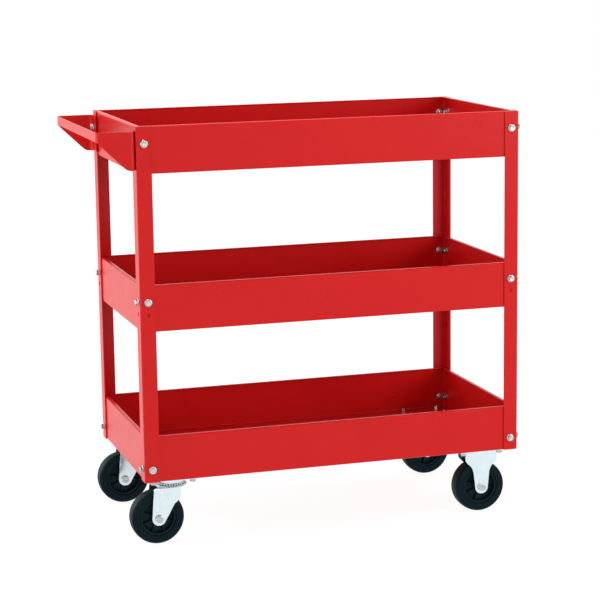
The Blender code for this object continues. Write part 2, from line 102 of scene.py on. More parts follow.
# Casters
WHEEL_RADIUS = 0.050
TYRE_WIDTH = 0.032
TYRE_INNER = 0.034
TYRE_SHOULDER = 0.006
HUB_LENGTH = 0.038
HUB_BORE = 0.0068
HUB_BOSS = 0.0125
HUB_WEB = 0.005
HUB_RIM = 0.004
HUB_RIBS = 8
HUB_RIB_HALF_WIDTH = 0.0012
HUB_RIB_HEIGHT = 0.0055
BUSH_RADIUS = 0.0065
BUSH_BORE = 0.0044
FORK_SHEET = 0.0025
FORK_WIDTH = 0.045
FORK_BEND = 0.006
FORK_TIP = 0.0128
FORK_CROWNING = 0.0011  # how far a leg's two edges fall back from its middle
FORK_ROUNDING = 0.0004
FORK_EDGE_ANGLE = 50
FORK_COLUMNS = (-1, -0.93, -0.75, -0.5, -0.25, 0, 0.25, 0.5, 0.75, 0.93, 1)
PROFILE_EASE = 0.0015  # how far to each side a leg's corners are eased
SWIVEL_TRAIL = 0.028
PLATE_LENGTH = 0.092
PLATE_WIDTH = 0.060
PLATE_THICKNESS = 0.003
PLATE_CORNER = 0.006
PLATE_BOLT_X = 0.074
PLATE_BOLT_Y = 0.044
DISH_RADIUS = 0.027
DISH_DEPTH = 0.007
BALL_RADIUS = 0.0017
BALL_COUNT = 30
KINGPIN_RADIUS = 0.006
KINGPIN_HEAD = 0.009
# A leg's side view: (distance from the axle or the swivel axis, height), going up
RIGID_EDGE = [(0.0165, 0.082), (0.021, 0.0915), (0.0275, 0.097), (0.032, 0.103), (0.0315, 0.124)]
SWIVEL_BACK = [(-0.0408, 0.050), (-0.038, 0.085), (-0.036, 0.105), (-0.036, 0.115)]
SWIVEL_FRONT = [
    (-0.0164, 0.0446), (0.002, 0.0765), (0.008, 0.0805),
    (0.0125, 0.0865), (0.0145, 0.094), (0.0145, 0.115),
]

# The frame's own measures, from the CAD model
TRAY_BOX = {level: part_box(f"{level}_tray") for level in LEVELS}
MIDDLE_X = sum(corner.x for corner in TRAY_BOX["top"]) / 2
TRAY_HALF_X = (TRAY_BOX["top"][1].x - TRAY_BOX["top"][0].x) / 2
TRAY_HALF_Y = TRAY_BOX["top"][1].y
TRAY_HEIGHT = TRAY_BOX["top"][1].z - TRAY_BOX["top"][0].z
FRAME_BOTTOM = TRAY_BOX["bottom"][0].z
FRAME_TOP = TRAY_BOX["top"][1].z
POST_HALF_X = TRAY_HALF_X + GAP + POST_SHEET
POST_HALF_Y = TRAY_HALF_Y + GAP + POST_SHEET
HANDLE_LOW, HANDLE_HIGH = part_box("push_handle")
PLATE_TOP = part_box("caster_front_left_top_plate")[1].z
PLATE_LOW = PLATE_TOP - PLATE_THICKNESS
DISH_LOW = PLATE_LOW - DISH_DEPTH
CROWN_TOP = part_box("caster_front_left_fork")[1].z
FLOOR_SHEET_TOP = FRAME_BOTTOM + TRAY_SHEET

# Camera, at the photograph's viewing angle
CAMERA_PLACE = (-1.0924, -3.645, 1.100)
CAMERA_YAW = 17.02
CAMERA_PITCH = 10.289
CAMERA_ROLL = -0.806
CAMERA_LENS = 120.53

# Studio
FLOOR_RADIUS = 60
FLOOR_GLOW = 0.9
LIGHTS = (  # name, place, diameter, power
    ("right", (2.0, -2.2, 1.2), 1.6, 38),
    ("front", (-0.6, -4.4, 1.5), 1.6, 16),
    ("left", (-2.0, -0.2, 0.9), 1.2, 17),
    ("back_left", (-2.8, 2.4, 1.2), 1.6, 45),
    ("back_right", (3.0, 2.4, 1.2), 1.6, 45),
    ("above", (-0.2, -0.1, 3.2), 0.8, 45),
)
SKY_STRENGTH = 0.7
SKY_SPREAD = 60
SKY_TILT = -12
WORLD_BY_AXIS = (  # a direction's part along an axis: from low, from high, to low, to high
    ("Z", (0.08, 0.5, 1.05, 0.35)),
    ("Y", (0.0, 0.6, 0.0, 0.3)),
)
RANGE_SOCKETS = ("From Min", "From Max", "To Min", "To Max")

# Wear
PAINT_EDGE_WEAR = 0.3
PAINT_SCUFFS = 0.12


# Materials


class Pattern:
    """Builds one material's nodes round its Principled shader."""

    def __init__(self, name, colour, metallic, roughness, specular=0.5):
        self.material = bpy.data.materials.new(name)
        self.material.use_nodes = True
        self.nodes = self.material.node_tree.nodes
        self.links = self.material.node_tree.links
        self.shader = self.nodes["Principled BSDF"]
        self.shader.inputs["Base Color"].default_value = (*colour, 1)
        self.shader.inputs["Metallic"].default_value = metallic
        self.shader.inputs["Roughness"].default_value = roughness
        self.shader.inputs["Specular IOR Level"].default_value = specular
        self.place = self.nodes.new("ShaderNodeTexCoord").outputs["Object"]

    def stretched(self, scale):
        """Object coordinates scaled by a different amount along each axis."""
        mapping = self.nodes.new("ShaderNodeMapping")
        mapping.inputs["Scale"].default_value = scale
        self.links.new(self.place, mapping.inputs["Vector"])
        return mapping.outputs["Vector"]

    def noise(self, scale, detail=2.0, roughness=0.5, place=None, distortion=0.0):
        node = self.nodes.new("ShaderNodeTexNoise")
        node.inputs["Scale"].default_value = scale
        node.inputs["Detail"].default_value = detail
        node.inputs["Roughness"].default_value = roughness
        node.inputs["Distortion"].default_value = distortion
        self.links.new(place or self.place, node.inputs["Vector"])
        return node.outputs["Fac"]

    def cells(self, scale):
        node = self.nodes.new("ShaderNodeTexVoronoi")
        node.inputs["Scale"].default_value = scale
        self.links.new(self.place, node.inputs["Vector"])
        return node

    def attribute(self, name):
        node = self.nodes.new("ShaderNodeAttribute")
        node.attribute_name = name
        return node.outputs["Fac"]

    def upward(self):
        """1 on faces that look up, 0 on the others."""
        node = self.nodes.new("ShaderNodeSeparateXYZ")
        self.links.new(self.nodes.new("ShaderNodeTexCoord").outputs["Normal"], node.inputs["Vector"])
        return self.remap(node.outputs["Z"], 0.85, 0.98, 0, 1)

    def remap(self, value, low, high, new_low, new_high):
        node = self.nodes.new("ShaderNodeMapRange")
        self.links.new(value, node.inputs["Value"])
        for socket, number in zip(RANGE_SOCKETS, (low, high, new_low, new_high)):
            node.inputs[socket].default_value = number
        return node.outputs["Result"]

    def maths(self, operation, first, second):
        node = self.nodes.new("ShaderNodeMath")
        node.operation = operation
        for socket, value in zip(node.inputs, (first, second)):
            if isinstance(value, (int, float)):
                socket.default_value = value
            else:
                self.links.new(value, socket)
        return node.outputs["Value"]

    def mix(self, share, first, second):
        """A colour between two colours or colour outputs."""
        node = self.nodes.new("ShaderNodeMix")
        node.data_type = "RGBA"
        self.links.new(share, node.inputs["Factor"])
        for name, value in zip("AB", (first, second)):
            socket = next(s for s in node.inputs if s.name == name and s.type == "RGBA")
            if isinstance(value, tuple):
                socket.default_value = (*value, 1)
            else:
                self.links.new(value, socket)
        return next(s for s in node.outputs if s.type == "RGBA")

    def bump(self, *layers):
        """Bump from (height output, distance in metres, strength) layers, one on top of another."""
        normal = None
        for height, distance, strength in layers:
            node = self.nodes.new("ShaderNodeBump")
            node.inputs["Distance"].default_value = distance
            node.inputs["Strength"].default_value = strength
            self.links.new(height, node.inputs["Height"])
            if normal:
                self.links.new(normal, node.inputs["Normal"])
            normal = node.outputs["Normal"]
        self.links.new(normal, self.shader.inputs["Normal"])

    def colour(self, output):
        self.links.new(output, self.shader.inputs["Base Color"])

    def roughness(self, output):
        self.links.new(output, self.shader.inputs["Roughness"])


def red_powder_coat():
    paint = Pattern("red_powder_coat", (0.50, 0.006, 0.006), 0.0, 0.3, 0.18)
    cloud = paint.noise(9, 3, 0.55)
    fine = paint.noise(900, 2, 0.6)
    clouded = paint.remap(cloud, 0.3, 0.7, 0, 1)
    base = paint.mix(clouded, (0.492, 0.0052, 0.0052), (0.510, 0.0062, 0.0062))
    speckle = paint.remap(fine, 0.66, 0.82, 0, 0.4)
    base = paint.mix(speckle, base, (0.53, 0.013, 0.012))
    edge = paint.attribute("edge")
    broken = paint.remap(paint.noise(240, 3, 0.65), 0.42, 0.62, 0, 1)
    worn = paint.maths("MULTIPLY", edge, broken)
    base = paint.mix(paint.maths("MULTIPLY", worn, PAINT_EDGE_WEAR), base, (0.60, 0.035, 0.03))
    scuffs = paint.noise(14, 4, 0.6, paint.stretched((1.0, 7.0, 1.0)), 0.4)
    scuffed = paint.maths("MULTIPLY", paint.remap(scuffs, 0.58, 0.75, 0, 1), paint.upward())
    base = paint.mix(paint.maths("MULTIPLY", scuffed, PAINT_SCUFFS), base, (0.54, 0.018, 0.016))
    paint.colour(base)
    smoothness = paint.remap(paint.noise(35, 4, 0.6), 0.3, 0.7, 0.27, 0.32)
    paint.roughness(paint.maths("ADD", smoothness, paint.maths("MULTIPLY", scuffed, 0.16)))
    peel = paint.noise(420, 2, 0.5)
    paint.bump((peel, 0.00002, 0.3), (scuffs, 0.00003, 0.1))
    return paint.material


def zinc(name, low, high, rough_low, rough_high, worn_colour):
    """Bright zinc plating: cloudy, with a faint bluish spangle, fine scratches and rubbed edges."""
    plate = Pattern(name, low, 1.0, 0.3)
    cloud = plate.noise(60, 4, 0.6)
    spangle = plate.cells(420)
    base = plate.mix(plate.remap(cloud, 0.3, 0.7, 0, 1), low, high)
    tint = plate.remap(spangle.outputs["Distance"], 0.0, 0.9, 0.0, 0.2)
    base = plate.mix(tint, base, tuple(c * 0.9 for c in low))
    edge = plate.attribute("edge")
    worn = plate.maths("MULTIPLY", edge, plate.remap(plate.noise(300, 3), 0.4, 0.6, 0.2, 1))
    plate.colour(plate.mix(worn, base, worn_colour))
    scratches = plate.noise(90, 3, 0.7, plate.stretched((1.0, 1.0, 22.0)))
    dull = plate.remap(plate.noise(140, 4, 0.65), 0.3, 0.7, rough_low, rough_high)
    plate.roughness(plate.maths("ADD", dull, plate.remap(scratches, 0.55, 0.8, 0, 0.12)))
    plate.bump((scratches, 0.00001, 0.2), (cloud, 0.00001, 0.2))
    return plate.material


def black_rubber():
    rubber = Pattern("tyre_black_rubber", (0.001, 0.009, 0.012), 0.0, 0.45, 0.08)
    dust = rubber.noise(70, 4, 0.65)
    worn = rubber.attribute("edge")
    dusty = rubber.remap(dust, 0.45, 0.75, 0, 1)
    base = rubber.mix(dusty, (0.0003, 0.0075, 0.0100), (0.0012, 0.0100, 0.0130))
    patchy = rubber.remap(rubber.noise(160, 4, 0.7), 0.35, 0.65, 0.15, 0.8)
    tread = rubber.maths("MULTIPLY", worn, patchy)
    rubber.colour(rubber.mix(tread, base, (0.008, 0.018, 0.022)))
    dull = rubber.remap(dust, 0.3, 0.7, 0.36, 0.52)
    rubber.roughness(rubber.maths("ADD", dull, rubber.maths("MULTIPLY", tread, 0.2)))
    rubber.bump((rubber.noise(700, 3, 0.6), 0.00005, 0.5), (dust, 0.0001, 0.25))
    return rubber.material


def black_plastic():
    # The hub's dark colour is set a little lighter than the tyre's: painted light that offsets the shade
    # in the hub's recess.
    plastic = Pattern("hub_black_plastic", (0.003, 0.014, 0.018), 0.0, 0.4, 0.08)
    cloud = plastic.noise(45, 3, 0.55)
    clouded = plastic.remap(cloud, 0.3, 0.7, 0, 1)
    base = plastic.mix(clouded, (0.0020, 0.0125, 0.0165), (0.0035, 0.0150, 0.0190))
    rubbed = plastic.maths("MULTIPLY", plastic.attribute("edge"), 0.6)
    plastic.colour(plastic.mix(rubbed, base, (0.008, 0.022, 0.027)))
    plastic.roughness(plastic.remap(plastic.noise(220, 4, 0.6), 0.3, 0.7, 0.30, 0.46))
    plastic.bump((plastic.noise(1500, 2, 0.6), 0.00002, 0.4), (cloud, 0.0001, 0.15))
    return plastic.material


PAINT = red_powder_coat()
ZINC = zinc("bright_zinc", (0.63, 0.74, 0.78), (0.71, 0.81, 0.85), 0.20, 0.28, (0.80, 0.88, 0.92))
FASTENER = zinc(
    "fastener_zinc_plate", (0.40, 0.42, 0.43), (0.52, 0.54, 0.55), 0.24, 0.34, (0.74, 0.77, 0.78)
)
STEEL = zinc(
    "bare_bearing_steel", (0.62, 0.62, 0.61), (0.74, 0.74, 0.73), 0.12, 0.25, (0.85, 0.85, 0.85)
)
RUBBER = black_rubber()
PLASTIC = black_plastic()


# Shape tools


def arc(centre, radius, start, end, steps):
    """Points on an arc in a plane; the angles are in degrees."""
    angles = [math.radians(start + (end - start) * i / steps) for i in range(steps + 1)]
    return [(centre[0] + radius * math.cos(a), centre[1] + radius * math.sin(a)) for a in angles]


def along(points, height):
    """The distance of a (distance, height) polyline at a height, with its corners eased."""
    total = 0.0
    shifts = (-PROFILE_EASE, -PROFILE_EASE / 2, 0, PROFILE_EASE / 2, PROFILE_EASE)
    for shift in shifts:
        at = min(max(height + shift, points[0][1]), points[-1][1])
        for start, end in zip(points, points[1:]):
            if at <= end[1]:
                share = (at - start[1]) / (end[1] - start[1])
                total += start[0] + (end[0] - start[0]) * share
                break
    return total / len(shifts)


def rounded_rectangle(half_x, half_y, radius, steps=6, along_x=0, along_y=0):
    """A closed outline, with extra points along its sides where asked."""
    points = []
    for corner in range(4):
        side_x = 1 if corner in (0, 3) else -1
        side_y = 1 if corner < 2 else -1
        centre = (side_x * (half_x - radius), side_y * (half_y - radius))
        points += arc(centre, radius, 90 * corner, 90 * corner + 90, steps)
        extra = along_x if corner % 2 == 0 else along_y
        following = (corner + 1) % 4
        next_x = 1 if following in (0, 3) else -1
        next_y = 1 if following < 2 else -1
        next_centre = (next_x * (half_x - radius), next_y * (half_y - radius))
        end = arc(next_centre, radius, 90 * following, 90 * following, 1)[0]
        start = points[-1]
        for i in range(1, extra + 1):
            share = i / (extra + 1)
            points.append(tuple(a + (b - a) * share for a, b in zip(start, end)))
    return points


def loft(rings, caps=False, loop=False):
    """Closed rings with the same number of points, joined in turn."""
    bm = bmesh.new()
    made = [[bm.verts.new(point) for point in ring] for ring in rings]
    pairs = list(zip(made, made[1:])) + ([(made[-1], made[0])] if loop else [])
    for lower, upper in pairs:
        for i in range(len(lower)):
            j = (i + 1) % len(lower)
            bm.faces.new((lower[i], lower[j], upper[j], upper[i]))
    if caps:
        bm.faces.new(made[0])
        bm.faces.new(made[-1])
    bmesh.ops.recalc_face_normals(bm, faces=bm.faces)
    return bm


def prism(outline, low, high):
    return loft([[(x, y, z) for x, y in outline] for z in (low, high)], caps=True)


def turned(profile, steps, flats=None, relief=None):
    """A profile of (radius, height) points turned about Z, running down its outer side.

    A third value of True keeps a point inside a hexagon of this width over its flats. A relief
    function of (radius, height, angle) gives a height that changes round the piece.
    """
    bm = bmesh.new()
    rings = []
    for point in profile:
        radius, height = point[:2]
        if radius < 1e-7:
            rings.append([bm.verts.new((0, 0, height))])
            continue
        ring = []
        for i in range(steps):
            angle = 2 * math.pi * i / steps
            reach = radius
            if flats and len(point) > 2:
                off_flat = (angle + math.pi / 6) % (math.pi / 3) - math.pi / 6
                reach = min(radius, flats / 2 / math.cos(off_flat))
            level = relief(radius, height, angle) if relief else height
            ring.append(bm.verts.new((reach * math.cos(angle), reach * math.sin(angle), level)))
        rings.append(ring)
    if len(rings[0]) > 1:
        rings.append(rings[0])
    for upper, lower in zip(rings, rings[1:]):
        for i in range(steps):
            j = (i + 1) % steps
            near = (upper[i % len(upper)], lower[i % len(lower)])
            far = (lower[j % len(lower)], upper[j % len(upper)])
            bm.faces.new(list(dict.fromkeys(near + far)))
    bmesh.ops.recalc_face_normals(bm, faces=bm.faces)
    return bm


def drill(bm, radius, centre, axis, reach):
    """Adds one hole's cutter to a bmesh of cutters."""
    turn = Vector((0, 0, 1)).rotation_difference(Vector(axis)).to_matrix().to_4x4()
    bmesh.ops.create_cone(
        bm, cap_ends=True, segments=HOLE_STEPS, radius1=radius, radius2=radius, depth=2 * reach,
        matrix=Matrix.Translation(centre) @ turn,
    )


def to_mesh(name, bm):
    mesh = bpy.data.meshes.new(name)
    bm.to_mesh(mesh)
    bm.free()
    return mesh


def new_object(name, mesh):
    obj = bpy.data.objects.new(name, mesh)
    bpy.context.scene.collection.objects.link(obj)
    return obj


def boolean(obj, bm, operation="DIFFERENCE"):
    other = new_object(f"{obj.name}_tool", to_mesh("tool", bm))
    modifier = obj.modifiers.new("tool", "BOOLEAN")
    modifier.operation = operation
    modifier.solver = "EXACT"
    modifier.object = other
    bake_modifiers(obj)
    bpy.data.objects.remove(other)


def bake_modifiers(obj):
    graph = bpy.context.evaluated_depsgraph_get()
    mesh = bpy.data.meshes.new_from_object(obj.evaluated_get(graph), depsgraph=graph)
    obj.modifiers.clear()
    obj.data = mesh


def round_edges(obj, width=EDGE_ROUNDING, angle=EDGE_ANGLE):
    modifier = obj.modifiers.new("edges", "BEVEL")
    modifier.width = width
    modifier.segments = 2
    modifier.limit_method = "ANGLE"
    modifier.angle_limit = math.radians(angle)
    modifier.use_clamp_overlap = True
    bake_modifiers(obj)


def mark_edges(mesh, width):
    """Writes an attribute that is 1 where only narrow faces meet, as on a rounded edge."""
    attribute = mesh.attributes.new("edge", "FLOAT", "POINT")
    narrow = [1.0] * len(mesh.vertices)
    for face in mesh.polygons:
        corners = [mesh.vertices[i].co for i in face.vertices]
        longest = max((a - b).length for a, b in zip(corners, corners[1:] + corners[:1]))
        if face.area > width * longest:
            for i in face.vertices:
                narrow[i] = 0.0
    attribute.data.foreach_set("value", narrow)


def finish_mesh(mesh, material, edge_width=0.0006):
    mesh.shade_smooth()
    mesh.set_sharp_from_angle(angle=math.radians(SMOOTH_ANGLE))
    mark_edges(mesh, edge_width)
    mesh.materials.clear()
    mesh.materials.append(material)
    return mesh


def even_shading(obj):
    """Keeps large flat faces flat where they meet a bend."""
    modifier = obj.modifiers.new("even_shading", "WEIGHTED_NORMAL")
    modifier.keep_sharp = True
    modifier.weight = 80


def add_piece(obj, body, slot, *nodes):
    """Puts a piece on a body, in place of these CAD nodes.

    Its place goes into its own mesh, as theirs does.
    """
    obj.data = obj.data.copy()
    obj.data.transform(obj.matrix_world)
    obj.matrix_world = Matrix.Identity(4)
    even_shading(obj)
    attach(obj, body)
    if nodes:
        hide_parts(*nodes)


def stand_for(node, obj, slot, place=Matrix.Identity(4)):
    """A piece that replaces one CAD node."""
    obj.matrix_world = place
    add_piece(obj, NODE_BODY[node], slot, node)


# Trays


def tray_section():
    """The sheet's whole section, from the floor's underside round the wall and lip to the floor's top.

    Each point is (distance in from the wall's outer face, height).
    """
    bend = TRAY_BEND
    inner = TRAY_BEND - TRAY_SHEET
    half = TRAY_SHEET / 2
    rim = TRAY_HEIGHT - bend
    outer = arc((bend, bend), bend, 270, 180, 6) + arc((bend, rim), bend, 180, 90, 6)
    edge = arc((TRAY_LIP - half, TRAY_HEIGHT - half), half, 90, -90, 4)
    inside = arc((bend, rim), inner, 90, 180, 5) + arc((bend, bend), inner, 180, 270, 5)
    return outer + edge + inside


def tray_shape():
    rings = []
    for inset, height in tray_section():
        radius = max(TRAY_CORNER - inset, TRAY_SHEET)
        outline = rounded_rectangle(TRAY_HALF_X - inset, TRAY_HALF_Y - inset, radius)
        rings.append([(x, y, height) for x, y in outline])
    return loft(rings, caps=True)


def lip_slits():
    """At each corner a thin mitre cut through the lip."""
    cutters = bmesh.new()
    top = TRAY_HEIGHT
    for side_x, side_y in CORNERS.values():
        inset = (TRAY_LIP + TRAY_BEND) / 2
        middle = (side_x * (TRAY_HALF_X - inset), side_y * (TRAY_HALF_Y - inset), top)
        length = (TRAY_LIP - TRAY_BEND + 2 * TRAY_SHEET) * math.sqrt(2)
        turn = Matrix.Rotation(math.radians(45 * side_x * side_y), 4, "Z")
        size = Matrix.Diagonal((length, LIP_SLIT, 4 * TRAY_SHEET, 1))
        bmesh.ops.create_cube(cutters, size=1, matrix=Matrix.Translation(middle) @ turn @ size)
    return cutters


def tray_holes(level):
    cutters = bmesh.new()
    bottom = TRAY_BOX[level][0].z
    for corner, (side_x, side_y) in CORNERS.items():
        for kind, axis in BOLT_AXES.items():
            centre = bolt_place(level, corner, kind) - Vector((MIDDLE_X, 0, bottom))
            if kind == "side":
                centre.y = side_y * (TRAY_HALF_Y - TRAY_SHEET / 2)
            else:
                centre.x = side_x * (TRAY_HALF_X - TRAY_SHEET / 2)
            drill(cutters, BOLT_HOLE, centre, axis, 2 * TRAY_SHEET)
    if level == "bottom":
        for corner in CORNERS:
            middle = caster_axis(corner)
            for x, y in plate_bolt_places():
                centre = (middle.x + x - MIDDLE_X, middle.y + y, 0)
                drill(cutters, BOLT_HOLE, centre, (0, 0, 1), 2 * TRAY_SHEET)
    return cutters


def build_trays():
    for level in LEVELS:
        tray = new_object(f"{level}_tray_pan", to_mesh("tray", tray_shape()))
        boolean(tray, tray_holes(level))
        boolean(tray, lip_slits())
        place = Matrix.Translation((MIDDLE_X, 0, TRAY_BOX[level][0].z))
        finish_mesh(tray.data, PAINT, edge_width=0.0005)
        stand_for(f"{level}_tray", tray, "red_paint", place)


# Posts


def build_posts():
    height = FRAME_TOP - FRAME_BOTTOM
    for corner, (side_x, side_y) in CORNERS.items():
        bend = POST_BEND
        inner = POST_BEND - POST_SHEET
        outer = [(-POST_FRONT_FLANGE, 0)] + arc((-bend, -bend), bend, 90, 0, 8) + [(0, -POST_END_FLANGE)]
        back = [(-POST_SHEET, -POST_END_FLANGE)] + arc((-bend, -bend), inner, 0, 90, 6)
        back += [(-POST_FRONT_FLANGE, -POST_SHEET)]
        outline = [(side_x * x, side_y * y) for x, y in outer + back]
        post = new_object(f"post_{corner}_angle", to_mesh("post", prism(outline, 0, height)))
        cutters = bmesh.new()
        corner_place = Vector((MIDDLE_X + side_x * POST_HALF_X, side_y * POST_HALF_Y, FRAME_BOTTOM))
        for level in LEVELS:
            for kind, axis in BOLT_AXES.items():
                centre = bolt_place(level, corner, kind) - corner_place
                centre[1 if kind == "side" else 0] = 0
                drill(cutters, BOLT_HOLE, centre, axis, 2 * POST_SHEET)
                if level == "middle":
                    spare = centre - Vector((0, 0, SPARE_HOLE_DROP))
                    drill(cutters, BOLT_HOLE, spare, axis, 2 * POST_SHEET)
        boolean(post, cutters)
        round_edges(post)
        finish_mesh(post.data, PAINT)
        stand_for(f"post_{corner}", post, "red_paint", Matrix.Translation(corner_place))


# Push handle


def handle_bottom(x):
    """The strap's lower edge: level at the posts, rounded, then a straight slope up to the bar."""
    foot_end = HANDLE_HIGH.x - HANDLE_FOOT
    low = HANDLE_HIGH.z - HANDLE_PLATE_HEIGHT
    high = HANDLE_HIGH.z - HANDLE_BAR_HEIGHT
    slope = (high - low) / (foot_end - HANDLE_LOW.x)
    beyond = foot_end - x
    ease = HANDLE_FOOT_ROUNDING
    if beyond <= -ease:
        return low
    if beyond < ease:
        return low + slope * (beyond + ease) ** 2 / (4 * ease)
    return low + slope * beyond


def bend_pairs(centre, radius, start):
    """A quarter bend of the strap, as (outer, inner) point pairs."""
    outer = arc(centre, radius, start, start + 90, 10)
    return list(zip(outer, arc(centre, radius - HANDLE_SHEET, start, start + 90, 10)))


def strap_path():
    """Half of the strap's plan, as (outer, inner) point pairs from the tab's end to the bar's bend."""
    tab_x, bar_x, side_y = HANDLE_HIGH.x, HANDLE_LOW.x, HANDLE_HIGH.y
    sheet = HANDLE_SHEET
    tab_centre = (tab_x - HANDLE_TAB_BEND, side_y - HANDLE_TAB_BEND)
    bar_centre = (bar_x + HANDLE_BAR_BEND, side_y - HANDLE_BAR_BEND)
    pairs = [((tab_x, side_y - HANDLE_TAB), (tab_x - sheet, side_y - HANDLE_TAB))]
    pairs += bend_pairs(tab_centre, HANDLE_TAB_BEND, 0)
    foot_end = tab_x - HANDLE_FOOT
    for i in range(9):
        x = foot_end + HANDLE_FOOT_ROUNDING * (1 - i / 4)
        pairs.append(((x, side_y), (x, side_y - sheet)))
    pairs += bend_pairs(bar_centre, HANDLE_BAR_BEND, 90)
    return pairs


def build_handle():
    half = strap_path()
    pairs = half + [((a[0], -a[1]), (b[0], -b[1])) for a, b in reversed(half)]
    rings = []
    for outer, inner in pairs:
        low = handle_bottom(outer[0])
        high = HANDLE_HIGH.z
        rings.append([(*outer, low), (*outer, high), (*inner, high), (*inner, low)])
    handle = new_object("push_handle_strap", to_mesh("handle", loft(rings, caps=True)))
    cutters = bmesh.new()
    for corner in ("front_left", "back_left"):
        centre = bolt_place("top", corner, "end")
        centre.x = HANDLE_HIGH.x - HANDLE_SHEET / 2
        drill(cutters, BOLT_HOLE, centre, BOLT_AXES["end"], 2 * HANDLE_SHEET)
    boolean(handle, cutters)
    round_edges(handle)
    finish_mesh(handle.data, PAINT)
    stand_for("push_handle", handle, "red_paint")


# Fasteners


def bolt_place(level, corner, kind):
    """The middle of a frame bolt's box, which lies on its axis."""
    low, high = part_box(f"{level}_bolt_{corner}_{kind}")
    return (low + high) / 2


def thread(radius, start, end, pitch, inside=False):
    """Ridges down a screw or a nut's bore, between two heights."""
    count = max(1, round((start - end) / pitch))
    step = (start - end) / count
    depth = THREAD_DEPTH
    points = []
    for i in range(count):
        top = start - i * step
        crest, root = (radius, radius + depth) if inside else (radius, radius - depth)
        points += [(crest, top - 0.1 * step), (crest, top - 0.3 * step)]
        points += [(root, top - 0.6 * step), (root, top - 0.8 * step)]
    return points


def hexagon_top(size, top, height):
    """The chamfered upper end and the sides of a hexagon, down to a height."""
    flats, corner = size["flats"], size["flats"] / math.sqrt(3)
    start = 0.94 * flats / 2
    points = [(start * 0.9, top, True), (start, top, True)]
    for i in range(1, 6):
        radius = start + (corner - start) * i / 5
        points.append((radius, top - (radius - start) * math.tan(math.radians(30)), True))
    return points + [(corner, height, True)]


def flange_sides(size, low):
    """A flange's sloping top and rounded rim, above a height."""
    reach = size["flange"]
    return [
        (reach - 0.0009, low + 0.00135),
        (reach - 0.0003, low + 0.0011),
        (reach, low + 0.0007),
        (reach - 0.0001, low + 0.0002),
        (reach - 0.0004, low),
    ]


def bolt_mesh(name, size, grip, flanged=True):
    """A hex bolt along Z, with its head above 0 and its thread down through the grip and a nut."""
    shank, pitch = size["shank"], size["pitch"]
    end = -grip - size["nut"] - BOLT_TAIL - GAP
    low = GAP
    top = GAP + size["head"]
    flange = flange_sides(size, low) if flanged else []
    skirt = low + SKIRT_FLANGED if flanged else low
    profile = [(0, top - 0.0004), (0.0024, top - 0.0004), (0.0030, top)]
    profile += hexagon_top(size, top, skirt) + flange
    thread_top = -min(grip, 0.001)
    profile += [(shank, low), (shank, thread_top)]
    profile += thread(shank, thread_top, end + 0.0008, pitch)
    profile += [(shank - 0.0004, end + 0.0004), (shank - 0.0008, end), (0, end)]
    return finish_mesh(to_mesh(name, turned(profile, BOLT_STEPS, size["flats"])), FASTENER, 0.00035)


def nut_mesh(name, size, flanged=True):
    """A nut along Z: its seat at 0 and its chamfered face up."""
    bore = size["shank"] + THREAD_CLEARANCE
    top = size["nut"]
    flange = flange_sides(size, 0) if flanged else [(size["flats"] * 0.48, 0)]
    skirt = SKIRT_FLANGED if flanged else 0.0002
    profile = [(bore + 0.0005, top), *hexagon_top(size, top, skirt), *flange, (bore + 0.0005, 0)]
    ridges = thread(bore, top - 0.0003, 0.0003, size["pitch"], inside=True)
    profile += [(radius, top - height) for radius, height in ridges]
    return finish_mesh(to_mesh(name, turned(profile, BOLT_STEPS, size["flats"])), FASTENER, 0.00035)


def facing(place, direction, spin):
    """A place with Z along a direction, turned about it by an angle."""
    turn = Vector((0, 0, 1)).rotation_difference(Vector(direction)).to_matrix().to_4x4()
    return Matrix.Translation(place) @ turn @ Matrix.Rotation(spin, 4, "Z")


def build_frame_bolts():
    wall = POST_SHEET + GAP + TRAY_SHEET
    tab = HANDLE_SHEET + GAP
    short_bolt = bolt_mesh("frame_bolt", M6, wall)
    long_bolt = bolt_mesh("handle_bolt", M6, wall + tab)
    nut = nut_mesh("frame_nut", M6)
    count = 0
    for level in LEVELS:
        for corner, (side_x, side_y) in CORNERS.items():
            for kind in ("side", "end"):
                place = bolt_place(level, corner, kind)
                if kind == "side":
                    direction = Vector((0, side_y, 0))
                    place.y = side_y * POST_HALF_Y
                else:
                    direction = Vector((side_x, 0, 0))
                    place.x = MIDDLE_X + side_x * POST_HALF_X
                holds_handle = level == "top" and side_x < 0 and kind == "end"
                head_place = place + direction * tab if holds_handle else place
                node = f"{level}_bolt_{corner}_{kind}"
                shape = long_bolt if holds_handle else short_bolt
                bolt = new_object(f"{level}_screw_{corner}_{kind}", shape)
                bolt.matrix_world = facing(head_place, direction, 2.4 * count)
                add_piece(bolt, "frame", "fastener_zinc", node)
                seat = new_object(f"{level}_nut_{corner}_{kind}", nut)
                seat.matrix_world = facing(place - direction * (wall + GAP), -direction, 1.7 * count)
                add_piece(seat, "frame", "fastener_zinc")
                count += 1


# Casters


def caster_axis(corner):
    """The middle of a caster's plate, on the ground."""
    part = "top_plate" if "left" in corner else "bracket"
    low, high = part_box(f"caster_{corner}_{part}")
    return Vector(((low.x + high.x) / 2, (low.y + high.y) / 2, 0))


def plate_bolt_places():
    return [(x * PLATE_BOLT_X / 2, y * PLATE_BOLT_Y / 2) for x in (-1, 1) for y in (-1, 1)]


def plate_holes():
    cutters = bmesh.new()
    for x, y in plate_bolt_places():
        drill(cutters, BOLT_HOLE, (x, y, PLATE_LOW), (0, 0, 1), 2 * PLATE_THICKNESS)
    return cutters


